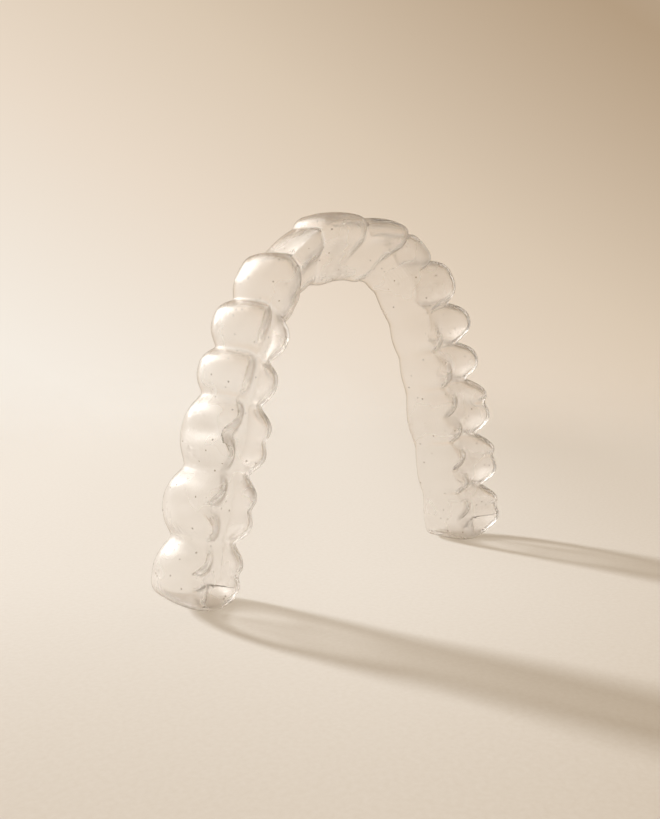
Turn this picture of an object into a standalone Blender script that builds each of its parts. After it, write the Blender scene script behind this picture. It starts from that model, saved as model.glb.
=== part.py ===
"""Clear dental aligner: one sheet of clear plastic, thermoformed over an arch of sixteen teeth.

The tray stands on its two distal ends, with the front teeth at the top. X runs across the arch and Z is up.
The biting side faces -Y and the open gum side faces +Y. Lengths are in metres.
"""

from dataclasses import dataclass, replace

import bmesh
import bpy
import numpy as np
from mathutils import Matrix

MM = 0.001

# Arch line, from the midline down to the distal ends: depth = ARCH_DEPTH * (x / ARCH_HALF_WIDTH) ** ARCH_POWER
ARCH_HALF_WIDTH = 30.6 * MM
ARCH_DEPTH = 55.9 * MM
ARCH_POWER = 2.96

# Sheet, and the wall's form above the trimmed gum edge
SHEET_THICKNESS = 0.6 * MM
BULGE_HEIGHT = 2.4 * MM
SHOULDER_SHARE = 0.6  # height of the shoulder, as a share of the cusp's height

# Fillets in the grooves between two teeth and between two cusps, as shares of the lobe
CHEEK_NOTCH = 0.22
TONGUE_NOTCH = 0.5
CUSP_NOTCH = 0.5

# Distal ends, closed round the last molar, and the small flats that they stand on
DISTAL_RIM_REACH = 3.4 * MM
DISTAL_REACH = 3.6 * MM
DISTAL_SHOULDER_REACH = 3.9 * MM
DISTAL_SHOULDER_HEIGHT = 8.0 * MM
DISTAL_CREST_REACH = 2.8 * MM
DISTAL_CREST_HEIGHT = 9.0 * MM
DISTAL_INCLINE_REACH = 1.4 * MM
DISTAL_INCLINE_HEIGHT = 8.2 * MM
DISTAL_SQUARENESS = 2.4
FOOT_DEPTH = 0.42 * MM

# Facets
COLUMN_STEP = 0.88 * MM
HALF_SECTION_ROWS = 9
DISTAL_COLUMNS = 12
MERGE_DISTANCE = 0.001 * MM
ARCH_LINE_STEPS = 8000
SMOOTH_ANGLE = np.radians(50)

# Finish
PLASTIC_COLOUR = (0.93, 0.94, 0.94, 1.0)
PLASTIC_ROUGHNESS = 0.06
PLASTIC_IOR = 1.5


@dataclass(frozen=True)
class Side:
    """Cheek or tongue half of a crown's section: how far each level stands out from the arch line."""

    rim: float
    bulge: float
    shoulder: float
    cusp: float  # end of its outer slope
    incline: float  # start of its inner slope
    height: float  # of the cusp, above the gum edge
    incline_height: float
    pinch: float  # share of the reach that is left between two teeth
    cusp_split: float = 0.0  # how deeply the cusps are parted in two
    wall_split: float = 0.0  # how deeply the wall is parted in two


@dataclass(frozen=True)
class Crown:
    """One tooth's place in the tray."""

    width: float  # along the arch line
    cheek: Side
    tongue: Side
    ridge_out: float  # cutting edge or central groove, towards the cheek from the arch line
    ridge_height: float
    height_pinch: float  # share of the cusps' height that is left between two teeth
    ridge_pinch: float
    squareness: float  # 2 is a round lobe along the arch, more is a flatter one


def resized(side, reach=1.0, height=1.0, out=0.0):
    """The same side with its reach and height changed, and its wall moved away from the arch line.

    The cusp takes half of that move, and the inner slope none, so that the edge keeps its thickness.
    """
    return replace(
        side,
        rim=side.rim * reach + out,
        bulge=side.bulge * reach + out,
        shoulder=side.shoulder * reach + out,
        cusp=side.cusp * reach + out / 2.0,
        incline=side.incline * reach,
        height=side.height * height,
        incline_height=side.incline_height * height,
    )


def moved(crown, cheek=0.0, tongue=0.0, height=1.0):
    """The same crown with its sides moved out by shares of its width, and its height changed."""
    return replace(
        crown,
        cheek=resized(crown.cheek, height=height, out=cheek * crown.width),
        tongue=resized(crown.tongue, height=height, out=tongue * crown.width),
        ridge_height=crown.ridge_height * height,
    )


INCISOR = Crown(
    width=8.6 * MM,
    cheek=Side(
        rim=3.2 * MM, bulge=3.5 * MM, shoulder=3.4 * MM, cusp=2.9 * MM, incline=2.0 * MM,
        height=7.8 * MM, incline_height=8.5 * MM, pinch=0.76,
    ),
    tongue=Side(
        rim=7.2 * MM, bulge=6.1 * MM, shoulder=3.4 * MM, cusp=1.4 * MM, incline=0.5 * MM,
        height=7.3 * MM, incline_height=8.2 * MM, pinch=0.76, wall_split=0.85,
    ),
    ridge_out=1.1 * MM,
    ridge_height=8.7 * MM,
    height_pinch=0.87,
    ridge_pinch=0.87,
    squareness=4.5,
)
CANINE = Crown(
    width=7.9 * MM,
    cheek=Side(
        rim=4.3 * MM, bulge=4.8 * MM, shoulder=4.8 * MM, cusp=4.2 * MM, incline=3.6 * MM,
        height=7.7 * MM, incline_height=8.4 * MM, pinch=0.68,
    ),
    tongue=Side(
        rim=6.6 * MM, bulge=5.9 * MM, shoulder=4.3 * MM, cusp=1.3 * MM, incline=0.1 * MM,
        height=7.2 * MM, incline_height=8.1 * MM, pinch=0.82, wall_split=0.5,
    ),
    ridge_out=2.3 * MM,
    ridge_height=8.5 * MM,
    height_pinch=0.82,
    ridge_pinch=0.8,
    squareness=3.2,
)
PREMOLAR = Crown(
    width=6.75 * MM,
    cheek=Side(
        rim=5.3 * MM, bulge=5.8 * MM, shoulder=5.6 * MM, cusp=4.5 * MM, incline=2.8 * MM,
        height=9.4 * MM, incline_height=9.2 * MM, pinch=0.63,
    ),
    tongue=Side(
        rim=6.1 * MM, bulge=5.8 * MM, shoulder=4.9 * MM, cusp=3.4 * MM, incline=1.8 * MM,
        height=8.2 * MM, incline_height=7.7 * MM, pinch=0.84,
    ),
    ridge_out=0.2 * MM,
    ridge_height=6.2 * MM,
    height_pinch=0.72,
    ridge_pinch=1.05,
    squareness=2.5,
)
MOLAR = Crown(
    width=9.9 * MM,
    cheek=Side(
        rim=6.4 * MM, bulge=6.9 * MM, shoulder=6.7 * MM, cusp=5.4 * MM, incline=3.3 * MM,
        height=9.8 * MM, incline_height=9.4 * MM, pinch=0.63, cusp_split=0.45, wall_split=0.3,
    ),
    tongue=Side(
        rim=6.5 * MM, bulge=6.3 * MM, shoulder=5.7 * MM, cusp=4.1 * MM, incline=2.3 * MM,
        height=8.5 * MM, incline_height=8.0 * MM, pinch=0.81, cusp_split=0.35, wall_split=0.3,
    ),
    ridge_out=0.4 * MM,
    ridge_height=5.6 * MM,
    height_pinch=0.72,
    ridge_pinch=1.06,
    squareness=2.3,
)

# The other teeth, as shares of these four
LATERAL = replace(
    INCISOR,
    width=0.745 * INCISOR.width,
    cheek=resized(INCISOR.cheek, height=0.9, out=-0.045 * INCISOR.width),
    tongue=resized(INCISOR.tongue, height=0.9, out=-0.06 * INCISOR.width),
    ridge_out=0.82 * INCISOR.ridge_out,
    ridge_height=0.9 * INCISOR.ridge_height,
    squareness=4.0,
)
FIRST_PREMOLAR = replace(
    PREMOLAR,
    width=1.065 * PREMOLAR.width,
    cheek=resized(PREMOLAR.cheek, height=1.03),
    tongue=resized(PREMOLAR.tongue, height=0.95),
    ridge_height=1.03 * PREMOLAR.ridge_height,
)
FIRST_MOLAR = replace(
    MOLAR,
    width=1.04 * MOLAR.width,
    cheek=replace(resized(MOLAR.cheek, reach=0.88, height=1.03), pinch=0.68, wall_split=0.7),
    tongue=resized(MOLAR.tongue, height=1.02, out=0.03 * MOLAR.width),
)
THIRD_MOLAR = replace(
    MOLAR,
    width=0.93 * MOLAR.width,
    cheek=replace(resized(MOLAR.cheek, reach=0.98, height=0.93), pinch=0.68),
    tongue=resized(MOLAR.tongue, reach=0.97, height=0.93),
    ridge_height=0.96 * MOLAR.ridge_height,
)

# The whole arch, from the left end to the right: as in a real mouth, the two halves aren't a mirror image
CROWNS = (
    THIRD_MOLAR,
    MOLAR,
    FIRST_MOLAR,
    PREMOLAR,
    FIRST_PREMOLAR,
    moved(CANINE, tongue=0.05),
    moved(LATERAL, cheek=0.08, tongue=0.08, height=0.93),
    moved(INCISOR, tongue=0.045, height=0.97),
    moved(INCISOR, cheek=-0.07, tongue=-0.045, height=1.06),
    moved(LATERAL, cheek=0.015, tongue=-0.125, height=1.08),
    moved(CANINE, tongue=-0.09, height=1.08),
    FIRST_PREMOLAR,
    PREMOLAR,
    moved(FIRST_MOLAR, cheek=0.07),
    MOLAR,
    THIRD_MOLAR,
)

# Which of reach and height each level takes part of when the wall or the cusps are parted in two:
# rim, bulge, shoulder, cusp, incline and ridge
WALL_SHARE = np.array(((0, 0), (0.5, 0), (1, 0), (0, 0), (0, 0), (0, 0)))
CUSP_SHARE = np.array(((0, 0), (0, 0), (0, 0), (-0.6, 1), (-0.6, 1), (0, 0)))
INCLINE = 4
CHEEK, TONGUE = 1.0, -1.0


def clear_scene():
    for old in list(bpy.data.objects):
        bpy.data.objects.remove(old)


def crown_edges():
    """Arc lengths from the midline at which the crowns meet, from the left distal end to the right."""
    edges = np.concatenate([[0.0], np.cumsum([crown.width for crown in CROWNS])])
    return edges - edges[-1] / 2.0


def arch_line(run):
    """X and Z of the arch line at signed arc lengths from the midline, and its outward direction there."""
    x = np.linspace(0.0, 1.2 * ARCH_HALF_WIDTH, ARCH_LINE_STEPS)
    depth = ARCH_DEPTH * (x / ARCH_HALF_WIDTH) ** ARCH_POWER
    length = np.concatenate([[0.0], np.cumsum(np.hypot(np.diff(x), np.diff(depth)))])
    place = np.interp(np.abs(run), length, x)
    side = np.where(run < 0.0, -1.0, 1.0)
    slope = ARCH_POWER * ARCH_DEPTH / ARCH_HALF_WIDTH * (place / ARCH_HALF_WIDTH) ** (ARCH_POWER - 1.0)
    outward = np.stack([slope * side, np.ones_like(slope)], axis=-1)
    outward /= np.linalg.norm(outward, axis=-1, keepdims=True)
    points = np.stack([place * side, -ARCH_DEPTH * (place / ARCH_HALF_WIDTH) ** ARCH_POWER], axis=-1)
    return points, outward


def levels(crown, flank, pinched):
    """Distance out and height of a half section's levels: rim, bulge, shoulder, cusp, incline and ridge.

    Pinched is true for the section at a contact, and false for the one in the middle of the tooth.
    """
    side = crown.cheek if flank == CHEEK else crown.tongue
    reach = rim = height = ridge = 1.0
    if pinched:
        reach = side.pinch
        rim = reach if flank == CHEEK else (2.0 + reach) / 3.0
        height, ridge = crown.height_pinch, crown.ridge_pinch
    return np.array(
        [
            (flank * side.rim * rim, 0.0),
            (flank * side.bulge * rim, BULGE_HEIGHT),
            (flank * side.shoulder * reach, side.height * height * SHOULDER_SHARE),
            (flank * side.cusp * reach, side.height * height),
            (flank * side.incline * reach, side.incline_height * height),
            (crown.ridge_out, crown.ridge_height * ridge),
        ]
    )


def lobe(place, squareness, rounding):
    """1 in the middle of a tooth and 0 at its contacts, where the fillet rounds it off. place runs -1 to 1."""
    full = 1.0 - np.abs(place) ** squareness
    return (np.sqrt(full**2 + rounding**2) - rounding) / (np.sqrt(1.0 + rounding**2) - rounding)


def section_controls(run, flank):
    """Control points of one side's half section at each arc length: (stations, levels, 2)."""
    edges = crown_edges()
    last = len(CROWNS) - 1
    index = np.clip(np.searchsorted(edges, run, side="right") - 1, 0, last)
    place = np.clip(2.0 * (run - edges[index]) / np.diff(edges)[index] - 1.0, -1.0, 1.0)

    full = np.array([levels(crown, flank, False) for crown in CROWNS])
    pinched = np.array([levels(crown, flank, True) for crown in CROWNS])
    # Two neighbours share the groove between them, which lies halfway between their own forms
    shared = np.concatenate([pinched[:1], (pinched[:-1] + pinched[1:]) / 2.0, pinched[-1:]])
    along = ((place + 1.0) / 2.0)[:, None, None]
    contact = shared[index] * (1.0 - along) + shared[index + 1] * along

    squareness = np.array([crown.squareness for crown in CROWNS])[index]
    beyond = ((index == 0) & (place < 0.0)) | ((index == last) & (place > 0.0))
    # Both flanks end on one ridge, so its fillet is the same for both
    notches = np.full(full.shape[1], CHEEK_NOTCH if flank == CHEEK else TONGUE_NOTCH)
    notches[-1] = CHEEK_NOTCH
    lobes = lobe(place[:, None], squareness[:, None], notches)
    whole = np.where(beyond[:, None], 1.0, lobes)[:, :, None]
    parted = lobe(2.0 * np.abs(place) - 1.0, 2.0, CUSP_NOTCH)[:, None, None]
    sides = [crown.cheek if flank == CHEEK else crown.tongue for crown in CROWNS]
    wall = np.array([side.wall_split for side in sides])[index][:, None, None] * WALL_SHARE
    cusps = np.array([side.cusp_split for side in sides])[index][:, None, None] * CUSP_SHARE
    split = wall + cusps
    return contact + (full[index] - contact) * ((1.0 - split) * whole + split * parted)


def half_section(controls, past_ridge, rows):
    """Uniform cubic B-spline from the rim to the ridge, smooth on to the control point past the ridge."""
    before_rim = 2.0 * controls[:, :1] - controls[:, 1:2]
    points = np.concatenate([before_rim, controls, past_ridge[:, None]], axis=1)
    spans = controls.shape[1] - 1
    place = np.linspace(0.0, spans, rows + 1)
    first = np.minimum(place.astype(int), spans - 1)
    t = place - first
    weights = (
        (1.0 - t) ** 3 / 6.0,
        (3.0 * t**3 - 6.0 * t**2 + 4.0) / 6.0,
        (-3.0 * t**3 + 3.0 * t**2 + 3.0 * t + 1.0) / 6.0,
        t**3 / 6.0,
    )
    return sum(weight[None, :, None] * points[:, first + step] for step, weight in enumerate(weights))


def to_space(line, outward, sections):
    """Sections set on the arch line: their distance out along the outward direction, their height along -Y."""
    out, height = sections[..., 0], sections[..., 1]
    x = line[:, None, 0] + outward[:, None, 0] * out
    z = line[:, None, 1] + outward[:, None, 1] * out
    return np.stack([x, -height, z], axis=-1)


def distal_end(line, outward, cheek, tongue, towards_end, groove_end, rows, columns):
    """Half sections swung round the end of the central groove, from the cheek side to the tongue side.

    Each level follows a superellipse between that side's reach and the distal reach.
    """
    ridge = cheek[-1]
    turn = np.linspace(0.0, np.pi, columns + 1)[1:-1]
    distal = np.array(
        [
            (DISTAL_RIM_REACH, 0.0),
            (DISTAL_REACH, BULGE_HEIGHT),
            (DISTAL_SHOULDER_REACH, DISTAL_SHOULDER_HEIGHT),
            (DISTAL_CREST_REACH, DISTAL_CREST_HEIGHT),
            (DISTAL_INCLINE_REACH, DISTAL_INCLINE_HEIGHT),
        ]
    )
    sections, directions = [], []
    for angle in turn:
        side = (cheek if angle <= np.pi / 2.0 else tongue)[:-1]
        side_reach = np.abs(side[:, 0] - ridge[0])
        across, back = abs(np.cos(angle)), np.sin(angle)
        power = DISTAL_SQUARENESS
        reach = ((across / side_reach) ** power + (back / distal[:, 0]) ** power) ** (-1.0 / power)
        height = side[:, 1] * across**2 + distal[:, 1] * back**2
        sections.append(np.vstack([np.stack([reach, height], axis=-1), (0.0, ridge[1])]))
        directions.append(outward * np.cos(angle) + towards_end * np.sin(angle))
    sections = np.array(sections)
    # What lies past the ridge keeps the end of the groove at one height all the way round
    opposite_height = cheek[INCLINE, 1] + tongue[INCLINE, 1] - sections[:, INCLINE, 1]
    past_ridge = np.stack([-sections[:, INCLINE, 0], opposite_height], axis=-1)
    centre = np.repeat((line + outward * ridge[0])[None], len(turn), axis=0)
    end = to_space(centre, np.array(directions), half_section(sections, past_ridge, rows))
    to_groove = (groove_end - end[:, -1])[:, None]
    return end + to_groove * (np.linspace(0.0, 1.0, rows + 1) ** 3)[None, :, None]


def body_stations():
    """Signed arc lengths of the columns between the two distal ends, with a column at every contact."""
    edges = crown_edges()
    edges[0] += DISTAL_REACH
    edges[-1] -= DISTAL_REACH
    runs = [
        np.linspace(start, end, max(2, round((end - start) / COLUMN_STEP)) + 1)[:-1]
        for start, end in zip(edges[:-1], edges[1:])
    ]
    return np.concatenate([*runs, edges[-1:]])


def tray_skin(rows, distal_columns):
    """Outer skin as a closed loop of half sections: (columns, rows + 1, 3), rim first and ridge last."""
    run = body_stations()
    line, outward = arch_line(run)
    cheek, tongue = section_controls(run, CHEEK), section_controls(run, TONGUE)
    cheek_wall = to_space(line, outward, half_section(cheek, tongue[:, INCLINE], rows))
    tongue_wall = to_space(line, outward, half_section(tongue, cheek[:, INCLINE], rows))
    ends = []
    for station, turn in ((0, -1.0), (-1, 1.0)):
        back = np.array((outward[station, 1], -outward[station, 0])) * turn
        ends.append(
            distal_end(
                line[station],
                outward[station],
                cheek[station],
                tongue[station],
                back,
                cheek_wall[station, -1],
                rows,
                distal_columns,
            )
        )
    left_end, right_end = ends
    return np.concatenate([cheek_wall, right_end, tongue_wall[::-1], left_end[::-1]])


def stand_on_floor(skin):
    """Presses the lowest points into flats, and puts them at z = 0."""
    floor = skin[..., 2].min() + FOOT_DEPTH
    skin[..., 2] = np.maximum(skin[..., 2], floor) - floor
    return skin


def skin_mesh(name, skin):
    """Open surface from the loop of half sections, joined along the ridge and at the distal ends."""
    columns, levels, _ = skin.shape
    here = np.arange(columns)[:, None] * levels + np.arange(levels - 1)[None, :]
    following = np.roll(here, -1, axis=0)
    quads = np.stack([here, here + 1, following + 1, following], axis=-1).reshape(-1, 4)
    mesh = bpy.data.meshes.new(name)
    mesh.from_pydata(skin.reshape(-1, 3).tolist(), [], quads.tolist())
    work = bmesh.new()
    work.from_mesh(mesh)
    bmesh.ops.remove_doubles(work, verts=work.verts, dist=MERGE_DISTANCE)
    bmesh.ops.triangulate(work, faces=work.faces)
    work.to_mesh(mesh)
    work.free()
    return mesh


def clear_plastic():
    material = bpy.data.materials.new("clear_plastic")
    material.use_nodes = True
    surface = material.node_tree.nodes["Principled BSDF"]
    surface.inputs["Base Color"].default_value = PLASTIC_COLOUR
    surface.inputs["Roughness"].default_value = PLASTIC_ROUGHNESS
    surface.inputs["Metallic"].default_value = 0.0
    surface.inputs["IOR"].default_value = PLASTIC_IOR
    surface.inputs["Transmission Weight"].default_value = 1.0
    return material


def centre_in_depth(shell):
    """Moves the mesh along Y until the thickened sheet is centred on the origin."""
    graph = bpy.context.evaluated_depsgraph_get()
    depths = [corner[1] for corner in shell.evaluated_get(graph).bound_box]
    middle = (min(depths) + max(depths)) / 2.0
    shell.data.transform(Matrix.Translation((0.0, -middle, 0.0)))


def aligner_shell():
    """The tray: its outer skin, thickened inwards by the sheet."""
    mesh = skin_mesh("aligner_shell", stand_on_floor(tray_skin(HALF_SECTION_ROWS, DISTAL_COLUMNS)))
    mesh.materials.append(clear_plastic())
    shell = bpy.data.objects.new("aligner_shell", mesh)
    bpy.context.scene.collection.objects.link(shell)
    mesh.shade_smooth()
    mesh.set_sharp_from_angle(angle=SMOOTH_ANGLE)
    sheet = shell.modifiers.new("sheet", "SOLIDIFY")
    sheet.thickness = SHEET_THICKNESS
    sheet.offset = -1.0
    sheet.use_rim = True
    centre_in_depth(shell)
    return shell


clear_scene()
aligner_shell()
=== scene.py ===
"""Looks of the clear dental aligner: its fine thermoformed shell, the clear plastic, and a plain warm studio.

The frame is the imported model's: X across the arch, Z up, the biting side towards -Y, lengths in metres.
"""

import logging
from dataclasses import dataclass, field, replace
from enum import Enum

import bpy
import numpy as np
from mathutils import Matrix, Vector
from numpy.typing import NDArray

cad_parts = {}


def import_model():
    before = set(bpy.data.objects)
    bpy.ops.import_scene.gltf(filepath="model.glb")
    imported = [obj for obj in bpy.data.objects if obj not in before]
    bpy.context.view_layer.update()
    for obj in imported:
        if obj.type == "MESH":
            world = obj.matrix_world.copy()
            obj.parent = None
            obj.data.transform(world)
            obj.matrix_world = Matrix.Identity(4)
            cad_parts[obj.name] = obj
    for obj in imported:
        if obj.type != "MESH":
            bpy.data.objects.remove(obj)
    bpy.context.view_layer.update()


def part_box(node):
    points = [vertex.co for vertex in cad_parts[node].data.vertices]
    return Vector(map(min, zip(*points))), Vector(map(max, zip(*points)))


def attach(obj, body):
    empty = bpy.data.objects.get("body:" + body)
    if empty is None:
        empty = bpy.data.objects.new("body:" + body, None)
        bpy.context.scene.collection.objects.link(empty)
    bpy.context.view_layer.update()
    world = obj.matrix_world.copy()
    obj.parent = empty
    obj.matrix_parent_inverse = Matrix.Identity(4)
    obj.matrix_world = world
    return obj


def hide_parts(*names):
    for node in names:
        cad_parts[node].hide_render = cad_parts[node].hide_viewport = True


MM = 0.001
# Blender's wave bands repeat every 0.314 m at a scale of 1
WAVE_PERIOD = 0.314
NODE = "aligner_shell"
LOG = logging.getLogger("clear_aligner")

Array = NDArray[np.float64]
Colour = tuple[float, float, float, float]


class Flank(Enum):
    """Which half of a crown's section a surface belongs to, with its sign along the outward direction."""

    CHEEK = 1.0
    TONGUE = -1.0


@dataclass(frozen=True)
class Side:
    """Cheek or tongue half of a crown's section: how far each level stands out from the arch line.

    The cusp's outer slope ends at cusp, and its inner slope starts at incline. The pinch is the share of the
    reach that is left between two teeth. The splits say how deeply the cusps and the wall are parted in two.
    """

    rim: float
    bulge: float
    shoulder: float
    cusp: float
    incline: float
    height: float
    incline_height: float
    pinch: float
    cusp_split: float = 0.0
    wall_split: float = 0.0

    def resized(self, reach: float = 1.0, height: float = 1.0, out: float = 0.0) -> "Side":
        """The same side with its reach and height changed, and its wall moved away from the arch line.

        The cusp takes half of that move, and the inner slope none, so that the edge keeps its thickness.

        Args:
            reach: Share of the distance out that is kept.
            height: Share of the height that is kept.
            out: Distance that the wall moves out, in metres.

        Returns:
            The changed side.
        """
        return replace(
            self,
            rim=self.rim * reach + out,
            bulge=self.bulge * reach + out,
            shoulder=self.shoulder * reach + out,
            cusp=self.cusp * reach + out / 2.0,
            incline=self.incline * reach,
            height=self.height * height,
            incline_height=self.incline_height * height,
        )


@dataclass(frozen=True)
class Crown:
    """One tooth's place in the tray. The ridge is its cutting edge or its central groove."""

    width: float
    cheek: Side
    tongue: Side
    ridge_out: float
    ridge_height: float
    height_pinch: float
    ridge_pinch: float
    squareness: float

    def moved(self, cheek: float = 0.0, tongue: float = 0.0, height: float = 1.0) -> "Crown":
        """The same crown with its sides moved out and its height changed.

        Args:
            cheek: Share of the width that the cheek side moves out by.
            tongue: Share of the width that the tongue side moves out by.
            height: Share of the height that is kept.

        Returns:
            The changed crown.
        """
        return replace(
            self,
            cheek=self.cheek.resized(height=height, out=cheek * self.width),
            tongue=self.tongue.resized(height=height, out=tongue * self.width),
            ridge_height=self.ridge_height * height,
        )


INCISOR = Crown(
    width=8.6 * MM,
    cheek=Side(
        rim=3.2 * MM, bulge=3.5 * MM, shoulder=3.4 * MM, cusp=2.9 * MM, incline=2.0 * MM,
        height=7.8 * MM, incline_height=8.5 * MM, pinch=0.76,
    ),
    tongue=Side(
        rim=7.2 * MM, bulge=6.1 * MM, shoulder=3.4 * MM, cusp=1.4 * MM, incline=0.5 * MM,
        height=7.3 * MM, incline_height=8.2 * MM, pinch=0.94, wall_split=0.35,
    ),
    ridge_out=1.1 * MM,
    ridge_height=8.7 * MM,
    height_pinch=0.87,
    ridge_pinch=0.87,
    squareness=4.5,
)
CANINE = Crown(
    width=7.9 * MM,
    cheek=Side(
        rim=4.3 * MM, bulge=4.8 * MM, shoulder=4.8 * MM, cusp=4.2 * MM, incline=3.6 * MM,
        height=7.7 * MM, incline_height=8.4 * MM, pinch=0.68,
    ),
    tongue=Side(
        rim=6.6 * MM, bulge=5.9 * MM, shoulder=4.3 * MM, cusp=1.3 * MM, incline=0.1 * MM,
        height=7.2 * MM, incline_height=8.1 * MM, pinch=0.87, wall_split=0.4,
    ),
    ridge_out=2.3 * MM,
    ridge_height=8.5 * MM,
    height_pinch=0.82,
    ridge_pinch=0.8,
    squareness=3.2,
)
PREMOLAR = Crown(
    width=6.75 * MM,
    cheek=Side(
        rim=5.3 * MM, bulge=5.8 * MM, shoulder=5.6 * MM, cusp=4.5 * MM, incline=2.8 * MM,
        height=9.4 * MM, incline_height=9.2 * MM, pinch=0.63,
    ),
    tongue=Side(
        rim=6.1 * MM, bulge=5.8 * MM, shoulder=4.9 * MM, cusp=3.4 * MM, incline=1.8 * MM,
        height=8.2 * MM, incline_height=7.7 * MM, pinch=0.84,
    ),
    ridge_out=0.2 * MM,
    ridge_height=6.2 * MM,
    height_pinch=0.72,
    ridge_pinch=1.05,
    squareness=2.5,
)
MOLAR = Crown(
    width=9.9 * MM,
    cheek=Side(
        rim=6.4 * MM, bulge=6.9 * MM, shoulder=6.7 * MM, cusp=5.4 * MM, incline=3.3 * MM,
        height=9.8 * MM, incline_height=9.4 * MM, pinch=0.63, cusp_split=0.55, wall_split=0.3,
    ),
    tongue=Side(
        rim=6.5 * MM, bulge=6.3 * MM, shoulder=5.7 * MM, cusp=4.1 * MM, incline=2.3 * MM,
        height=8.5 * MM, incline_height=8.0 * MM, pinch=0.81, cusp_split=0.75, wall_split=0.4,
    ),
    ridge_out=0.4 * MM,
    ridge_height=5.6 * MM,
    height_pinch=0.72,
    ridge_pinch=1.06,
    squareness=2.3,
)

# The other teeth, as shares of these four
LATERAL = replace(
    INCISOR,
    width=0.745 * INCISOR.width,
    cheek=INCISOR.cheek.resized(height=0.9, out=-0.045 * INCISOR.width),
    tongue=INCISOR.tongue.resized(height=0.9, out=-0.06 * INCISOR.width),
    ridge_out=0.82 * INCISOR.ridge_out,
    ridge_height=0.9 * INCISOR.ridge_height,
    squareness=4.0,
)
FIRST_PREMOLAR = replace(
    PREMOLAR,
    width=1.065 * PREMOLAR.width,
    cheek=PREMOLAR.cheek.resized(height=1.03),
    tongue=PREMOLAR.tongue.resized(height=0.95),
    ridge_height=1.03 * PREMOLAR.ridge_height,
)
FIRST_MOLAR = replace(
    MOLAR,
    width=1.04 * MOLAR.width,
    cheek=replace(MOLAR.cheek.resized(reach=0.88, height=1.03), pinch=0.68, wall_split=0.7),
    tongue=MOLAR.tongue.resized(height=1.02, out=0.03 * MOLAR.width),
)
THIRD_MOLAR = replace(
    MOLAR,
    width=0.93 * MOLAR.width,
    cheek=replace(MOLAR.cheek.resized(reach=0.98, height=0.93), pinch=0.68),
    tongue=MOLAR.tongue.resized(reach=0.97, height=0.93),
    ridge_height=0.96 * MOLAR.ridge_height,
)

# The whole arch, from the left end to the right: as in a real mouth, the two halves aren't a mirror image
CROWNS: tuple[Crown, ...] = (
    THIRD_MOLAR,
    MOLAR,
    FIRST_MOLAR,
    PREMOLAR,
    FIRST_PREMOLAR,
    CANINE.moved(tongue=0.05),
    LATERAL.moved(cheek=-0.14, tongue=0.08, height=0.93),
    INCISOR.moved(tongue=0.045, height=0.97),
    INCISOR.moved(cheek=-0.07, tongue=-0.045, height=1.06),
    LATERAL.moved(cheek=0.015, tongue=-0.125, height=1.08),
    CANINE.moved(tongue=-0.09, height=1.08),
    FIRST_PREMOLAR,
    PREMOLAR,
    FIRST_MOLAR.moved(cheek=0.07),
    MOLAR,
    THIRD_MOLAR,
)


@dataclass(frozen=True)
class ArchLine:
    """Line that the crowns stand along. It drops by depth * (x / half_width) ** power from the midline."""

    half_width: float = 30.6 * MM
    depth: float = 55.9 * MM
    power: float = 2.96
    steps: int = 8000

    def at(self, run: Array) -> tuple[Array, Array]:
        """Points and outward directions at signed arc lengths from the midline.

        Args:
            run: Arc lengths, negative on the left half.

        Returns:
            X and Z of each point, and the outward direction there, both as (n, 2).
        """
        x = np.linspace(0.0, 1.2 * self.half_width, self.steps)
        drop = self.depth * (x / self.half_width) ** self.power
        length = np.concatenate([[0.0], np.cumsum(np.hypot(np.diff(x), np.diff(drop)))])
        place = np.interp(np.abs(run), length, x)
        side = np.where(run < 0.0, -1.0, 1.0)
        share = place / self.half_width
        slope = self.power * self.depth / self.half_width * share ** (self.power - 1.0)
        outward = np.stack([slope * side, np.ones_like(slope)], axis=-1)
        outward /= np.linalg.norm(outward, axis=-1, keepdims=True)
        return np.stack([place * side, -self.depth * share**self.power], axis=-1), outward


@dataclass(frozen=True)
class DistalEnd:
    """How the tray closes round the back of the last molar, and the flat that it stands on."""

    rim_reach: float = 3.3 * MM
    reach: float = 3.5 * MM
    shoulder_reach: float = 3.75 * MM
    shoulder_height: float = 7.0 * MM
    crest_reach: float = 2.6 * MM
    crest_height: float = 7.4 * MM
    incline_reach: float = 1.3 * MM
    incline_height: float = 6.3 * MM
    squareness: float = 2.3
    foot_depth: float = 0.12 * MM
    groove: float = 0.12
    groove_power: float = 5.0

    def levels(self, bulge_height: float) -> Array:
        """Reach and height of each level from rim to incline, straight back from the groove's end."""
        return np.array(
            [
                (self.rim_reach, 0.0),
                (self.reach, bulge_height),
                (self.shoulder_reach, self.shoulder_height),
                (self.crest_reach, self.crest_height),
                (self.incline_reach, self.incline_height),
            ]
        )


def spline_weights(t: Array) -> tuple[Array, Array, Array, Array]:
    """Weights of the four control points of a uniform cubic B-spline at t from 0 to 1."""
    return (
        (1.0 - t) ** 3 / 6.0,
        (3.0 * t**3 - 6.0 * t**2 + 4.0) / 6.0,
        (-3.0 * t**3 + 3.0 * t**2 + 3.0 * t + 1.0) / 6.0,
        t**3 / 6.0,
    )


def half_section(controls: Array, past_ridge: Array, rows: int) -> Array:
    """Carries a uniform cubic B-spline from the rim to the ridge, smooth on to the point past the ridge.

    Args:
        controls: (n, 6, 2) control points, rim first and ridge last.
        past_ridge: (n, 2) control point on the far side of the ridge.
        rows: Steps between rim and ridge.

    Returns:
        (n, rows + 1, 2) distances out and heights.
    """
    before_rim = 2.0 * controls[:, :1] - controls[:, 1:2]
    points = np.concatenate([before_rim, controls, past_ridge[:, None]], axis=1)
    spans = controls.shape[1] - 1
    place = np.linspace(0.0, spans, rows + 1)
    first = np.minimum(place.astype(int), spans - 1)
    weights = spline_weights(place - first)
    return sum(weight[None, :, None] * points[:, first + step] for step, weight in enumerate(weights))


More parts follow.
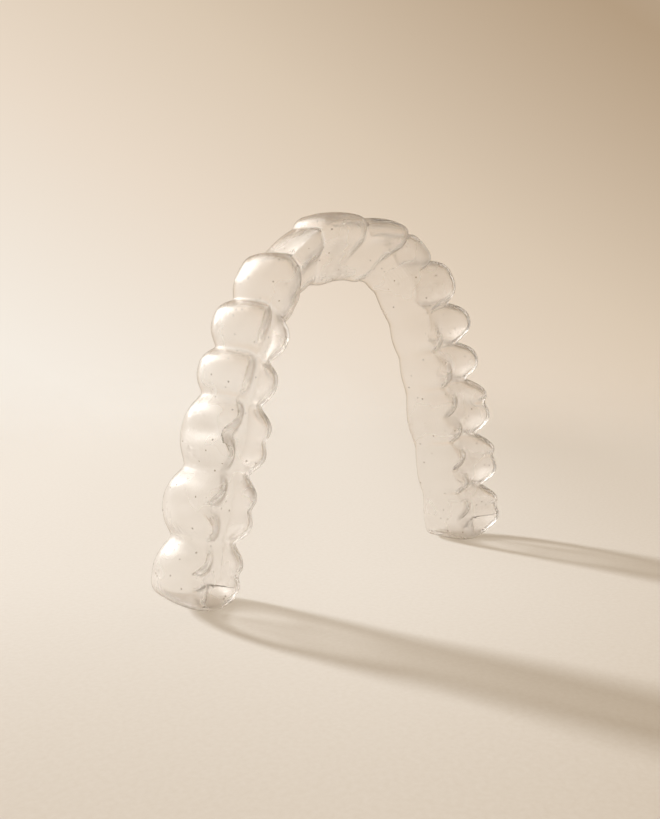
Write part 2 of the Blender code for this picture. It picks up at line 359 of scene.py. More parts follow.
def to_space(line: Array, outward: Array, sections: Array) -> Array:
    """Sets sections on the arch line: distance out along the outward direction, height along -Y."""
    out, height = sections[..., 0], sections[..., 1]
    x = line[:, None, 0] + outward[:, None, 0] * out
    z = line[:, None, 1] + outward[:, None, 1] * out
    return np.stack([x, -height, z], axis=-1)


def point_normals(points: Array, triangles: NDArray[np.int64]) -> Array:
    """Unit normals at the points: the sum of the normals of the triangles round each, by area."""
    a, b, c = (points[triangles[:, corner]] for corner in range(3))
    face = np.cross(b - a, c - a)
    total = np.zeros_like(points)
    for corner in range(3):
        np.add.at(total, triangles[:, corner], face)
    return total / np.linalg.norm(total, axis=1, keepdims=True)


@dataclass
class ThermoformedShell:
    """The tray as one sheet with a rounded rim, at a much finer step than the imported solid."""

    crowns: tuple[Crown, ...] = CROWNS
    arch: ArchLine = field(default_factory=ArchLine)
    end: DistalEnd = field(default_factory=DistalEnd)
    sheet: float = 0.6 * MM
    bulge_height: float = 2.4 * MM
    shoulder_share: float = 0.6
    cheek_notch: float = 0.22
    tongue_notch: float = 0.5
    groove_notch: float = 0.25
    tongue_squareness: float = 2.0
    cusp_notch: float = 0.5
    wall_share: tuple[tuple[float, float], ...] = ((0, 0), (0.5, 0), (1, 0), (0, 0), (0, 0), (0, 0))
    cusp_share: tuple[tuple[float, float], ...] = ((0, 0), (0, 0), (0, 0), (-0.6, 1), (-0.6, 1), (0, 0))
    column_step: float = 0.26 * MM
    rows: int = 40
    inner_rows: int = 20
    end_columns: int = 44
    rim_steps: int = 6

    def crown_edges(self) -> Array:
        """Arc lengths from the midline at which the crowns meet, from the left distal end to the right."""
        edges = np.concatenate([[0.0], np.cumsum([crown.width for crown in self.crowns])])
        return edges - edges[-1] / 2.0

    def stations(self) -> Array:
        """Arc lengths of the columns between the distal ends, with one at every contact."""
        edges = self.crown_edges()
        edges[0] += self.end.reach
        edges[-1] -= self.end.reach
        runs = [
            np.linspace(start, stop, max(2, round((stop - start) / self.column_step)) + 1)[:-1]
            for start, stop in zip(edges[:-1], edges[1:])
        ]
        return np.concatenate([*runs, edges[-1:]])

    def lobe(self, place: Array, squareness: Array | float, rounding: Array | float) -> Array:
        """1 in the middle of a tooth and 0 at its contacts, with the notch between two lobes rounded."""
        full = 1.0 - np.abs(place) ** squareness
        return (np.sqrt(full**2 + rounding**2) - rounding) / (np.sqrt(1.0 + rounding**2) - rounding)

    def levels(self, crown: Crown, flank: Flank, pinched: bool) -> Array:
        """Control points of a crown's half section: rim, bulge, shoulder, cusp, incline and ridge.

        Args:
            crown: The tooth's form.
            flank: Cheek or tongue half.
            pinched: True for the section at a contact, False for the middle of the tooth.

        Returns:
            (6, 2) distances out towards the cheek, and heights.
        """
        side = crown.cheek if flank is Flank.CHEEK else crown.tongue
        reach = rim = height = ridge = 1.0
        if pinched:
            reach = side.pinch
            rim = reach if flank is Flank.CHEEK else (1.0 + reach) / 2.0
            height, ridge = crown.height_pinch, crown.ridge_pinch
        sign = flank.value
        return np.array(
            [
                (sign * side.rim * rim, 0.0),
                (sign * side.bulge * rim, self.bulge_height),
                (sign * side.shoulder * reach, side.height * height * self.shoulder_share),
                (sign * side.cusp * reach, side.height * height),
                (sign * side.incline * reach, side.incline_height * height),
                (crown.ridge_out, crown.ridge_height * ridge),
            ]
        )

    def controls(self, run: Array, flank: Flank) -> Array:
        """Control points at each arc length, blended from contact to mid tooth by the lobe.

        Args:
            run: Arc lengths from the midline.
            flank: Cheek or tongue half.

        Returns:
            (n, 6, 2) control points.
        """
        edges = self.crown_edges()
        last = len(self.crowns) - 1
        index = np.clip(np.searchsorted(edges, run, side="right") - 1, 0, last)
        place = np.clip(2.0 * (run - edges[index]) / np.diff(edges)[index] - 1.0, -1.0, 1.0)
        full = np.array([self.levels(crown, flank, False) for crown in self.crowns])
        pinched = np.array([self.levels(crown, flank, True) for crown in self.crowns])
        shared = np.concatenate([pinched[:1], (pinched[:-1] + pinched[1:]) / 2.0, pinched[-1:]])
        along = ((place + 1.0) / 2.0)[:, None, None]
        contact = shared[index] * (1.0 - along) + shared[index + 1] * along
        sides = [crown.cheek if flank is Flank.CHEEK else crown.tongue for crown in self.crowns]
        squareness = np.array([crown.squareness for crown in self.crowns])[index]
        beyond = ((index == 0) & (place < 0.0)) | ((index == last) & (place > 0.0))
        # Both flanks end on one ridge, so its fillet is the same for both
        notches = np.full(full.shape[1], self.cheek_notch if flank is Flank.CHEEK else self.tongue_notch)
        notches[-1] = self.cheek_notch
        powers = np.repeat(squareness[:, None], full.shape[1], axis=1)
        if flank is Flank.TONGUE:
            notches[3:5] = self.groove_notch
            powers[:, :3] = self.tongue_squareness
        lobes = self.lobe(place[:, None], powers, notches)
        whole = np.where(beyond[:, None], 1.0, lobes)
        parted = self.lobe(2.0 * np.abs(place) - 1.0, 2.0, self.cusp_notch)
        wall = np.array([side.wall_split for side in sides])[index][:, None, None] * self.wall_share
        cusps = np.array([side.cusp_split for side in sides])[index][:, None, None] * self.cusp_share
        split = wall + cusps
        share = (1.0 - split) * whole[:, :, None] + split * parted[:, None, None]
        return contact + (full[index] - contact) * share

    def distal_columns(self, station: int, turn: float, line: Array, outward: Array, cheek: Array,
                       tongue: Array, groove_end: Array) -> Array:
        """Half sections swung round the groove's end; each level follows a superellipse.

        Args:
            station: Index of the last body column on this side.
            turn: -1 on the left half and 1 on the right.
            line: Arch line points.
            outward: Outward directions.
            cheek: Cheek control points.
            tongue: Tongue control points.
            groove_end: Point that every column ends on.

        Returns:
            (columns, rows + 1, 3) points, from the cheek side to the tongue side.
        """
        cheek, tongue = cheek[station], tongue[station]
        out = outward[station]
        back = np.array((out[1], -out[0])) * turn
        ridge = cheek[-1]
        angle = np.linspace(0.0, np.pi, self.end_columns + 1)[1:-1, None]
        on_cheek = angle <= np.pi / 2.0
        reach_side = np.where(on_cheek, np.abs(cheek[:5, 0] - ridge[0]), np.abs(tongue[:5, 0] - ridge[0]))
        height_side = np.where(on_cheek, cheek[:5, 1], tongue[:5, 1])
        distal = self.end.levels(self.bulge_height)
        power = self.end.squareness
        across, behind = np.abs(np.cos(angle)), np.sin(angle)
        reach = ((across / reach_side) ** power + (behind / distal[:, 0]) ** power) ** (-1.0 / power)
        height = height_side * across**2 + distal[:, 1] * behind**2
        height[:, 3:] *= 1.0 - self.end.groove * behind**self.end.groove_power
        count = len(angle)
        ridge_point = np.broadcast_to((0.0, ridge[1]), (count, 1, 2))
        sections = np.concatenate([np.stack([reach, height], axis=-1), ridge_point], axis=1)
        past = np.stack([-reach[:, 4], cheek[4, 1] + tongue[4, 1] - height[:, 4]], axis=-1)
        directions = np.cos(angle) * out + np.sin(angle) * back
        centre = np.broadcast_to(line[station] + out * ridge[0], (count, 2))
        columns = to_space(centre, directions, half_section(sections, past, self.rows))
        to_groove = (groove_end - columns[:, -1])[:, None]
        return columns + to_groove * (np.linspace(0.0, 1.0, self.rows + 1) ** 3)[None, :, None]

    def outer_skin(self) -> tuple[Array, NDArray[np.int64]]:
        """Outer surface as a closed loop of half sections.

        Returns:
            (columns, rows + 1, 3) points with the rim first, and the body column whose ridge point each
            column ends on.
        """
        run = self.stations()
        line, outward = self.arch.at(run)
        cheek, tongue = self.controls(run, Flank.CHEEK), self.controls(run, Flank.TONGUE)
        cheek_wall = to_space(line, outward, half_section(cheek, tongue[:, 4], self.rows))
        tongue_wall = to_space(line, outward, half_section(tongue, cheek[:, 4], self.rows))
        left, right = (
            self.distal_columns(station, turn, line, outward, cheek, tongue, cheek_wall[station, -1])
            for station, turn in ((0, -1.0), (-1, 1.0))
        )
        body = np.arange(len(run))
        ends_on = np.concatenate([body, np.full(len(right), body[-1]), body[::-1], np.zeros(len(left), int)])
        skin = np.concatenate([cheek_wall, right, tongue_wall[::-1], left[::-1]])
        return skin, ends_on

    def placed(self, skin: Array, low: Array) -> Array:
        """Presses the feet flat at z = 0 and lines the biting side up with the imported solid's box."""
        floor = skin[..., 2].min() + self.end.foot_depth
        skin[..., 2] = np.maximum(skin[..., 2], floor) - floor
        skin[..., 1] += low[1] - skin[..., 1].min()
        return skin

    def strip(self, first: Array, second: Array) -> NDArray[np.int64]:
        """Triangles between two closed rows of point numbers, without those that have no width."""
        a, b = first, np.roll(first, -1)
        d, c = second, np.roll(second, -1)
        both = np.concatenate([np.stack([a, d, c], axis=1), np.stack([a, c, b], axis=1)])
        whole = (both[:, 0] != both[:, 1]) & (both[:, 1] != both[:, 2]) & (both[:, 2] != both[:, 0])
        return both[whole]

    def skin_triangles(self, columns: int, rows: int, ends_on: NDArray[np.int64],
                       start: int) -> NDArray[np.int64]:
        """Triangles of one skin whose points are stored row by row, with the ridge points last.

        Args:
            columns: Columns round the loop.
            rows: Rows below the ridge.
            ends_on: Ridge point of each column.
            start: Number of the skin's first point.

        Returns:
            (n, 3) point numbers, facing outwards.
        """
        rings = [start + row * columns + np.arange(columns) for row in range(rows)]
        rings.append(start + rows * columns + ends_on)
        return np.concatenate([self.strip(low, high) for low, high in zip(rings[:-1], rings[1:])])

    def mesh_data(self, low: Array) -> tuple[Array, NDArray[np.int64]]:
        """Points and triangles of the whole sheet: outer skin, rounded rim and inner skin.

        Args:
            low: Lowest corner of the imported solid's box.

        Returns:
            (n, 3) points and (m, 3) point numbers.
        """
        skin, ends_on = self.outer_skin()
        skin = self.placed(skin, low)
        columns = len(skin)
        body = ends_on.max() + 1
        outer = np.concatenate([skin[:, :-1].transpose(1, 0, 2).reshape(-1, 3), skin[:body, -1]])
        outer_faces = self.skin_triangles(columns, self.rows, ends_on, 0)
        normals = point_normals(outer, outer_faces)
        inset = outer - normals * self.sheet

        step = self.rows // self.inner_rows
        kept = np.arange(0, self.rows, step)
        rings = inset[: self.rows * columns].reshape(self.rows, columns, 3)[kept]
        inner = np.concatenate([rings.reshape(-1, 3), inset[self.rows * columns:]])
        inner[:, 2] = np.maximum(inner[:, 2], self.sheet / 2.0)
        start = len(outer)
        inner_faces = self.skin_triangles(columns, len(kept), ends_on, start)[:, ::-1]

        outer_rim, inner_rim, above = outer[:columns], inner[:columns], outer[columns:2 * columns]
        centre = (outer_rim + inner_rim) / 2.0
        across = (outer_rim - inner_rim) / 2.0
        radius = np.linalg.norm(across, axis=1, keepdims=True)
        side = across / radius
        down = outer_rim - above
        down -= side * np.sum(down * side, axis=1, keepdims=True)
        down /= np.linalg.norm(down, axis=1, keepdims=True)
        angles = np.linspace(0.0, np.pi, self.rim_steps + 1)[1:-1]
        arcs = [centre + radius * (np.cos(angle) * side + np.sin(angle) * down) for angle in angles]
        arc_start = start + len(inner)
        arc_rings = [arc_start + number * columns + np.arange(columns) for number in range(len(arcs))]
        rim_rings = [np.arange(columns), *arc_rings, start + np.arange(columns)]
        rim_faces = np.concatenate([self.strip(b, a) for a, b in zip(rim_rings[:-1], rim_rings[1:])])

        points = np.concatenate([outer, inner, *arcs])
        points[:, 2] = np.maximum(points[:, 2], 0.0)
        return points, np.concatenate([outer_faces, inner_faces, rim_faces])

    def build(self, low: Array, material: bpy.types.Material) -> bpy.types.Object:
        """Makes the shell's object at the origin, shaded smooth.

        Args:
            low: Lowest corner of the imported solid's box.
            material: Its finish.

        Returns:
            The new object.
        """
        points, triangles = self.mesh_data(low)
        mesh = bpy.data.meshes.new("thermoformed_shell")
        mesh.vertices.add(len(points))
        mesh.vertices.foreach_set("co", points.ravel())
        mesh.loops.add(triangles.size)
        mesh.loops.foreach_set("vertex_index", triangles.ravel())
        mesh.polygons.add(len(triangles))
        mesh.polygons.foreach_set("loop_start", np.arange(0, triangles.size, 3))
        mesh.update(calc_edges=True)
        mesh.validate()
        mesh.shade_smooth()
        mesh.materials.append(material)
        shell = bpy.data.objects.new("thermoformed_shell", mesh)
        bpy.context.scene.collection.objects.link(shell)
        return shell


class NodeDesk:
    """Short ways to add and join shader nodes in one material or world."""

    def __init__(self, tree: bpy.types.NodeTree) -> None:
        """Keeps the tree and empties it."""
        self.tree = tree
        tree.nodes.clear()

    def add(self, kind: str, **values: object) -> bpy.types.Node:
        """Adds a node. Names in values that are inputs set sockets, and the others set properties."""
        node = self.tree.nodes.new(kind)
        for name, value in values.items():
            if hasattr(node, name):
                setattr(node, name, value)
            else:
                node.inputs[name.replace("_", " ")].default_value = value
        return node

    def join(self, source: object, target: bpy.types.NodeSocket) -> None:
        """Joins an output to an input, or sets the input to a plain value."""
        if isinstance(source, bpy.types.NodeSocket):
            self.tree.links.new(source, target)
        else:
            target.default_value = source

    def texture(self, kind: str, place: bpy.types.NodeSocket, **values: object) -> bpy.types.Node:
        """Adds a texture or mapping node that reads the given coordinates."""
        node = self.add(kind, **values)
        self.join(place, node.inputs["Vector"])
        return node

    def maths(self, operation: str, first: object, second: object = 0.0,
              clamp: bool = False) -> bpy.types.NodeSocket:
        """Adds a Math node on two numbers or sockets, and gives its output."""
        node = self.add("ShaderNodeMath", operation=operation, use_clamp=clamp)
        for socket, value in zip(node.inputs, (first, second)):
            self.join(value, socket)
        return node.outputs[0]

    def dot(self, place: bpy.types.NodeSocket, direction: Vector) -> bpy.types.NodeSocket:
        """Gives how far a place lies along a direction."""
        node = self.add("ShaderNodeVectorMath", operation="DOT_PRODUCT")
        self.join(place, node.inputs[0])
        self.join(direction, node.inputs[1])
        return node.outputs["Value"]

    def ranged(self, value: bpy.types.NodeSocket, low: float, high: float, to_low: float,
               to_high: float) -> bpy.types.NodeSocket:
        """Maps a number smoothly from one range to another, clamped."""
        node = self.add("ShaderNodeMapRange", interpolation_type="SMOOTHSTEP", From_Min=low, From_Max=high,
                        To_Min=to_low, To_Max=to_high)
        self.join(value, node.inputs["Value"])
        return node.outputs["Result"]

    def blend(self, first: object, second: object, share: bpy.types.NodeSocket) -> bpy.types.NodeSocket:
        """Blends two colours, each plain or a socket, by the second one's share."""
        node = self.add("ShaderNodeMix", data_type="RGBA")
        self.join(share, node.inputs["Factor"])
        self.join(first, node.inputs[6])
        self.join(second, node.inputs[7])
        return node.outputs[2]

    def mixed(self, first: bpy.types.Node, second: bpy.types.Node,
              share: bpy.types.NodeSocket) -> bpy.types.Node:
        """Mixes two nodes' shaders by the second one's share."""
        node = self.add("ShaderNodeMixShader")
        self.join(share, node.inputs["Fac"])
        self.join(first.outputs[0], node.inputs[1])
        self.join(second.outputs[0], node.inputs[2])
        return node


@dataclass(frozen=True)
class ClearPlastic:
    """Clear aligner plastic: glossy, with mould layer lines, drawn streaks, ripples and trapped specks.

    The shares weigh each kind of relief. The shadow colours are what a shadow ray keeps at each skin. The
    outline is painted shade.
    """

    tint: Colour = (0.974, 0.961, 0.951, 1.0)
    # Painted shade: colour of the outlines, where the sheet turns away from view
    painted_edge_shade: Colour = (0.56, 0.51, 0.46, 1.0)
    speck_tint: Colour = (0.27, 0.22, 0.17, 1.0)
    edge_from: float = 0.6
    edge_to: float = 0.93
    edge_cover: float = 0.3
    # Painted shade: colour of the dark film laid over the outlines
    painted_edge_film: Colour = (0.66, 0.61, 0.55, 1.0)
    clearness: float = 0.93
    roughness: float = 0.2
    worn_edges: tuple[float, float] = (0.35, 0.75)
    worn_shares: tuple[float, float] = (0.7, 1.9)
    ior: float = 1.28
    bump_strength: float = 0.35
    bump_depth: float = 0.05 * MM
    layer_pitch: float = 0.36 * MM
    layer_distortion: float = 0.6
    layer_share: float = 1.1
    ripple_scale: float = 260.0
    ripple_share: float = 1.6
    streak_scale: tuple[float, float, float] = (2600.0, 2600.0, 240.0)
    streak_share: float = 1.5
    patch_scale: float = 120.0
    patch_edges: tuple[float, float] = (0.5, 0.68)
    speck_scale: float = 540.0
    speck_radii: tuple[float, float] = (0.055, 0.095)
    speck_share: float = 3.0
    shadow_foot: Colour = (0.93, 0.92, 0.91, 1.0)
    shadow_clear: Colour = (0.685, 0.675, 0.655, 1.0)
    shadow_edge: Colour = (0.30, 0.29, 0.27, 1.0)
    shadow_clear_from: float = 11.0 * MM
    shadow_edge_fades_by: float = 24.0 * MM
    shadow_edge_left: float = 0.4
    shadow_edge_power: float = 1.3

    def material(self) -> bpy.types.Material:
        """Builds the node material.

        Returns:
            The material.
        """
        made = bpy.data.materials.new("clear_plastic")
        made.use_nodes = True
        desk = NodeDesk(made.node_tree)
        place = desk.add("ShaderNodeTexCoord").outputs["Object"]
        surface = desk.add("ShaderNodeBsdfPrincipled", Metallic=0.0, IOR=self.ior,
                           Transmission_Weight=self.clearness)
        facing = desk.add("ShaderNodeLayerWeight", Blend=0.5).outputs["Facing"]
        height, pits = self.relief(desk, place, surface)
        # Painted shade: a darker colour and a dark film where the sheet turns away from view draw its
        # outlines
        grazing = desk.ranged(facing, self.edge_from, self.edge_to, 0.0, 1.0)
        outline = desk.blend(self.tint, self.painted_edge_shade, grazing)
        desk.join(desk.blend(outline, self.speck_tint, pits), surface.inputs["Base Color"])
        bump = desk.add("ShaderNodeBump", Strength=self.bump_strength, Distance=self.bump_depth)
        desk.join(height, bump.inputs["Height"])
        desk.join(bump.outputs["Normal"], surface.inputs["Normal"])
        film = desk.add("ShaderNodeBsdfTransparent", Color=self.painted_edge_film)
        shaded = desk.mixed(surface, film, desk.maths("MULTIPLY", grazing, self.edge_cover))

        rise = desk.add("ShaderNodeSeparateXYZ")
        desk.join(place, rise.inputs[0])
        fades = desk.ranged(rise.outputs["Z"], 0.0, self.shadow_edge_fades_by, 1.0, self.shadow_edge_left)
        edge = desk.maths("MULTIPLY", desk.maths("POWER", facing, self.shadow_edge_power), fades)
        cleared = desk.ranged(rise.outputs["Z"], 0.0, self.shadow_clear_from, 0.0, 1.0)
        low = desk.blend(self.shadow_foot, self.shadow_clear, cleared)
        lets_through = desk.add("ShaderNodeBsdfTransparent")
        desk.join(desk.blend(low, self.shadow_edge, edge), lets_through.inputs["Color"])
        path = desk.add("ShaderNodeLightPath")
        with_shadow = desk.mixed(shaded, lets_through, path.outputs["Is Shadow Ray"])
        clear = desk.add("ShaderNodeBsdfTransparent")
        whole = desk.mixed(with_shadow, clear, path.outputs["Is Diffuse Ray"])
        desk.join(whole.outputs[0], desk.add("ShaderNodeOutputMaterial").inputs["Surface"])
        return made

    def relief(self, desk: NodeDesk, place: bpy.types.NodeSocket,
               surface: bpy.types.Node) -> tuple[bpy.types.NodeSocket, bpy.types.NodeSocket]:
        """Bump height from layer lines, streaks, ripples and specks, with the roughness that goes with them.

        Args:
            desk: The material's nodes.
            place: Object coordinates.
            surface: The Principled node, whose roughness is set here.

        Returns:
            The height socket, and one that is 1 on a speck.
        """
        ripple = desk.texture("ShaderNodeTexNoise", place, Scale=self.ripple_scale, Detail=3.0,
                              Roughness=0.55)
        layers = desk.texture("ShaderNodeTexWave", place, wave_type="BANDS", bands_direction="Y",
                              Scale=WAVE_PERIOD / self.layer_pitch, Distortion=self.layer_distortion)
        patches = desk.texture("ShaderNodeTexNoise", place, Scale=self.patch_scale, Detail=2.0)
        where = desk.ranged(patches.outputs["Fac"], *self.patch_edges, 0.0, 1.0)
        lines = desk.maths("MULTIPLY", layers.outputs["Fac"], where)
        specks = desk.texture("ShaderNodeTexVoronoi", place, Scale=self.speck_scale, Randomness=1.0)
        pits = desk.ranged(specks.outputs["Distance"], *self.speck_radii, 1.0, 0.0)
        drawn = desk.texture("ShaderNodeMapping", place, Scale=self.streak_scale).outputs["Vector"]
        streaks = desk.texture("ShaderNodeTexNoise", drawn, Scale=1.0, Detail=2.0, Roughness=0.5)
        height = desk.maths("MULTIPLY", lines, self.layer_share)
        for relief, share in ((ripple, self.ripple_share), (streaks, self.streak_share)):
            height = desk.maths("ADD", height, desk.maths("MULTIPLY", relief.outputs["Fac"], share))
        height = desk.maths("SUBTRACT", height, desk.maths("MULTIPLY", pits, self.speck_share))
        smooth, worn = (self.roughness * share for share in self.worn_shares)
        roughness = desk.ranged(patches.outputs["Fac"], *self.worn_edges, smooth, worn)
        desk.join(roughness, surface.inputs["Roughness"])
        return height, pits


@dataclass(frozen=True)
class BackdropTones:
    """Colours of the warm sweep: the paper near the tray and its painted shade, and the far field from bright
    to dark.
    """

    paper: Colour = (0.85, 0.84, 0.815, 1.0)
    shaded_paper: Colour = (0.54, 0.475, 0.39, 1.0)
    glow: Colour = (0.92, 0.85, 0.76, 1.0)
    cream: Colour = (0.82, 0.70, 0.575, 1.0)
    sand: Colour = (0.71, 0.585, 0.45, 1.0)
    tan: Colour = (0.46, 0.34, 0.225, 1.0)
    hazel: Colour = (0.50, 0.405, 0.305, 1.0)
    fill: Colour = (0.56, 0.46, 0.355, 1.0)


def heading(azimuth: float, elevation: float) -> Vector:
    """Unit vector at an azimuth, in degrees from +Y towards +X, and an elevation above the floor."""
    turn, rise = np.radians(azimuth), np.radians(elevation)
    return Vector((np.sin(turn) * np.cos(rise), np.cos(turn) * np.cos(rise), np.sin(rise)))


@dataclass
class Studio:
    """Floor, far field, lamps and camera.

    A painted shade on the paper is (from, to, share), with its ends along a direction of the view. The left
    and right ones rise from none to their share of the shaded tone. The near one drops from its share to
    far_shade.
    """

    tones: BackdropTones = field(default_factory=BackdropTones)
    floor_radius: float = 1.6
    fade_start: float = 0.14
    fade_end: float = 0.9
    left_painted_shade: tuple[float, float, float] = (-90.0 * MM, -10.0 * MM, 0.16)
    right_painted_shade: tuple[float, float, float] = (-10.0 * MM, 75.0 * MM, 0.44)
    near_painted_shade: tuple[float, float, float] = (-120.0 * MM, 0.0, 0.59)
    far_shade: float = 0.03
    grain_scale: float = 1500.0
    grain_share: float = 0.22
    fall_across: float = 0.77
    fall_upwards: float = 1.13
    fall_from: float = -0.3
    fall_to: float = 0.75
    camera_yaw: float = np.radians(44.0)
    camera_pitch: float = np.radians(6.13)
    camera_distance: float = 148.06 * MM
    camera_aim: tuple[float, float, float] = (-1.29 * MM, 4.473 * MM, 25.57 * MM)
    focal_pixels: float = 914.8
    frame_height_pixels: float = 819.0
    sensor: float = 36.0
    clip_start: float = 5.0 * MM

    def directions(self) -> tuple[Vector, Vector, Vector]:
        """Forward, right and up of the camera."""
        yaw, pitch = self.camera_yaw, self.camera_pitch
        forward = Vector((np.sin(yaw) * np.cos(pitch), np.cos(yaw) * np.cos(pitch), -np.sin(pitch)))
        right = Vector((np.cos(yaw), -np.sin(yaw), 0.0))
        return forward, right, right.cross(forward)

    def camera(self) -> None:
        """Adds the camera at the photograph's viewing angle and makes it the scene's."""
        forward, right, up = self.directions()
        data = bpy.data.cameras.new("camera")
        data.sensor_width = self.sensor
        data.lens = self.focal_pixels / self.frame_height_pixels * self.sensor
        data.clip_start = self.clip_start
        seen = bpy.data.objects.new("camera", data)
        turn = Matrix((right, up, -forward)).transposed().to_4x4()
        place = Vector(self.camera_aim) - forward * self.camera_distance
        seen.matrix_world = Matrix.Translation(place) @ turn
        bpy.context.scene.collection.objects.link(seen)
        bpy.context.scene.camera = seen

    def floor(self) -> bpy.types.Object:
        """Adds the floor, which fades into the far field, so that no horizon shows.

        It is one triangle round a circle of the floor's radius, as an inner edge would show through.

        Returns:
            The floor object.
        """
        angle = np.radians((90.0, 210.0, 330.0))
        points = 2.0 * self.floor_radius * np.stack([np.cos(angle), np.sin(angle), np.zeros(3)], axis=-1)
        mesh = bpy.data.meshes.new("floor")
        mesh.from_pydata(points.tolist(), [], [(0, 1, 2)])
        mesh.materials.append(self.paper())
        ground = bpy.data.objects.new("floor", mesh)
        bpy.context.scene.collection.objects.link(ground)
        return ground

    def paper(self) -> bpy.types.Material:
        """Matt paper with painted shade, which turns clear towards the floor's edge.

        Returns:
            The material.
        """
        made = bpy.data.materials.new("floor_paper")
        made.use_nodes = True
        desk = NodeDesk(made.node_tree)
        place = desk.add("ShaderNodeTexCoord").outputs["Object"]
        paper = desk.add("ShaderNodeBsdfDiffuse")
        forward, right, _ = self.directions()
        across, along = desk.dot(place, right), desk.dot(place, forward)
        # Painted shade: the paper darkens to the right and towards the camera, as a pool of light would fade
        left, right_side = (
            desk.ranged(across, start, end, 0.0, share)
            for start, end, share in (self.left_painted_shade, self.right_painted_shade)
        )
        near = desk.ranged(along, *self.near_painted_shade, self.far_shade)
        grain = desk.texture("ShaderNodeTexNoise", place, Scale=self.grain_scale, Detail=3.0, Roughness=0.6)
        speckle = desk.maths("MULTIPLY", desk.maths("SUBTRACT", grain.outputs["Fac"], 0.5), self.grain_share)
        falls = desk.maths("ADD", desk.maths("ADD", left, right_side), near)
        shading = desk.maths("ADD", falls, speckle, clamp=True)
        desk.join(desk.blend(self.tones.paper, self.tones.shaded_paper, shading), paper.inputs["Color"])
        length = desk.add("ShaderNodeVectorMath", operation="LENGTH")
        desk.join(place, length.inputs[0])
        nearness = desk.maths("DIVIDE", 1.0, length.outputs["Value"])
        fade = desk.ranged(nearness, 1.0 / self.fade_end, 1.0 / self.fade_start, 1.0, 0.0)
        # Each spot is paper or clear by chance: an even blend shows a line where most of it turns clear
        chance = desk.texture("ShaderNodeTexWhiteNoise", place, noise_dimensions="3D")
        cleared = desk.maths("LESS_THAN", chance.outputs["Value"], fade)
        mix = desk.mixed(paper, desk.add("ShaderNodeBsdfTransparent"), cleared)
        desk.join(mix.outputs[0], desk.add("ShaderNodeOutputMaterial").inputs["Surface"])
        return made

    def far_field(self) -> None:
        """Shows a warm gradient beyond the floor, and lights the tray and the floor evenly from all round.

        The tone falls with the share of the direction that points right in the view, and with its rise.
        """
        world = bpy.data.worlds.new("far_field")
        world.use_nodes = True
        bpy.context.scene.world = world
        desk = NodeDesk(world.node_tree)
        _, right, _ = self.directions()
        direction = desk.add("ShaderNodeTexCoord").outputs["Generated"]
        slope = desk.dot(direction, right * self.fall_across + Vector((0.0, 0.0, self.fall_upwards)))
        place = desk.add("ShaderNodeMapRange", From_Min=self.fall_from, From_Max=self.fall_to)
        desk.join(slope, place.inputs["Value"])
        ramp = desk.add("ShaderNodeValToRGB")
        stops = ramp.color_ramp.elements
        stops[0].position, stops[0].color = 0.0, self.tones.glow
        stops[1].position, stops[1].color = 1.0, self.tones.hazel
        for position, colour in ((0.3, self.tones.cream), (0.5, self.tones.sand), (0.8, self.tones.tan)):
            stops.new(position).color = colour
        desk.join(place.outputs["Result"], ramp.inputs["Fac"])
        path = desk.add("ShaderNodeLightPath")
        seen = desk.maths("MAXIMUM", path.outputs["Is Camera Ray"], path.outputs["Is Glossy Ray"])
        seen = desk.maths("MAXIMUM", seen, path.outputs["Is Transmission Ray"])
        tone = desk.blend(self.tones.fill, ramp.outputs["Color"], seen)
        sky = desk.add("ShaderNodeBackground", Strength=1.0)
        desk.join(tone, sky.inputs["Color"])
        desk.join(sky.outputs["Background"], desk.add("ShaderNodeOutputWorld").inputs["Surface"])

    def lights(self) -> None:
        """Adds two windows that only show as highlights, and the low light that throws the shadows."""
        self.window("sky_window", azimuth=-12.0, elevation=38.0, distance=0.6, size=(0.34, 0.48), power=1.05,
                    colour=(1.0, 0.985, 0.96))
        self.window("window_core", azimuth=-12.0, elevation=31.0, distance=0.6, size=(0.15, 0.26), power=0.5,
                    colour=(1.0, 0.99, 0.97))
        self.low_sun(azimuth=-9.0, elevation=13.0, strength=7.4, spread=7.0, colour=(0.97, 0.985, 1.0))

    def window(self, name: str, azimuth: float, elevation: float, distance: float, size: tuple[float, float],
               power: float, colour: tuple[float, float, float]) -> None:
        """Adds a rectangular lamp that points at the tray and only shows in glossy surfaces.

        Args:
            name: The lamp's name.
            azimuth: Direction that it stands in, in degrees from +Y towards +X.
            elevation: Its height above the floor, in degrees.
            distance: Distance from the tray.
            size: Width and height.
            power: Watts.
            colour: Colour of its light.
        """
        away = heading(azimuth, elevation)
        data = bpy.data.lights.new(name, "AREA")
        data.shape = "RECTANGLE"
        data.size, data.size_y = size
        data.energy = power
        data.color = colour
        light = bpy.data.objects.new(name, data)
        place = Vector(self.camera_aim) + away * distance
        light.matrix_world = Matrix.Translation(place) @ away.to_track_quat("Z", "Y").to_matrix().to_4x4()
        light.visible_diffuse = False
        bpy.context.scene.collection.objects.link(light)

    def low_sun(self, azimuth: float, elevation: float, strength: float, spread: float,
                colour: tuple[float, float, float]) -> None:
        """Adds the low light behind the tray, which throws its long shadows.

        Args:
            azimuth: Direction that it stands in, in degrees from +Y towards +X.
            elevation: Its height above the floor, in degrees.
            strength: Watts per square metre.
            spread: Angle that it takes up, in degrees.
            colour: Colour of its light.
        """
        away = heading(azimuth, elevation)
        data = bpy.data.lights.new("low_sun", "SUN")
        data.energy = strength
        data.angle = np.radians(spread)
        data.color = colour
        light = bpy.data.objects.new("low_sun", data)
        light.matrix_world = Matrix.Translation(away) @ away.to_track_quat("Z", "Y").to_matrix().to_4x4()
        light.visible_glossy = False
        light.visible_transmission = False
        bpy.context.scene.collection.objects.link(light)


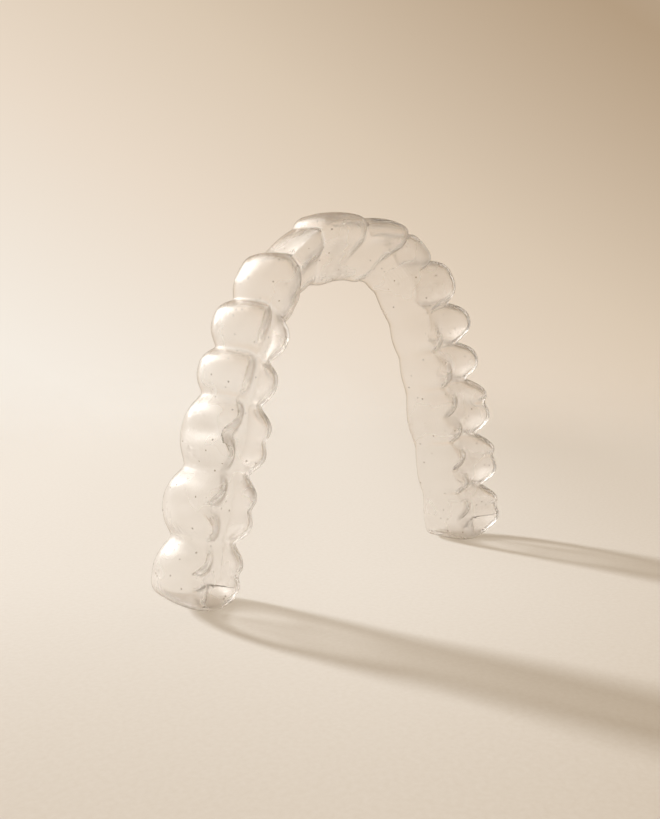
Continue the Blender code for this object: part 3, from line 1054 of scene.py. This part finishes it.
def main() -> None:
    """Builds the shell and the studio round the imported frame."""
    logging.basicConfig(level=logging.INFO, format="%(name)s: %(message)s")
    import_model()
    low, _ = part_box(NODE)

    shell = ThermoformedShell().build(np.array(low, dtype=float), ClearPlastic().material())
    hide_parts(NODE)
    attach(shell, "root")
    LOG.info("shell: %d triangles", len(shell.data.polygons))

    studio = Studio()
    studio.floor()
    studio.far_field()
    studio.lights()
    studio.camera()
    LOG.info("studio: floor, far field, lamps and camera")

    bpy.context.scene.view_settings.view_transform = "Standard"


if __name__ == "__main__":
    main()
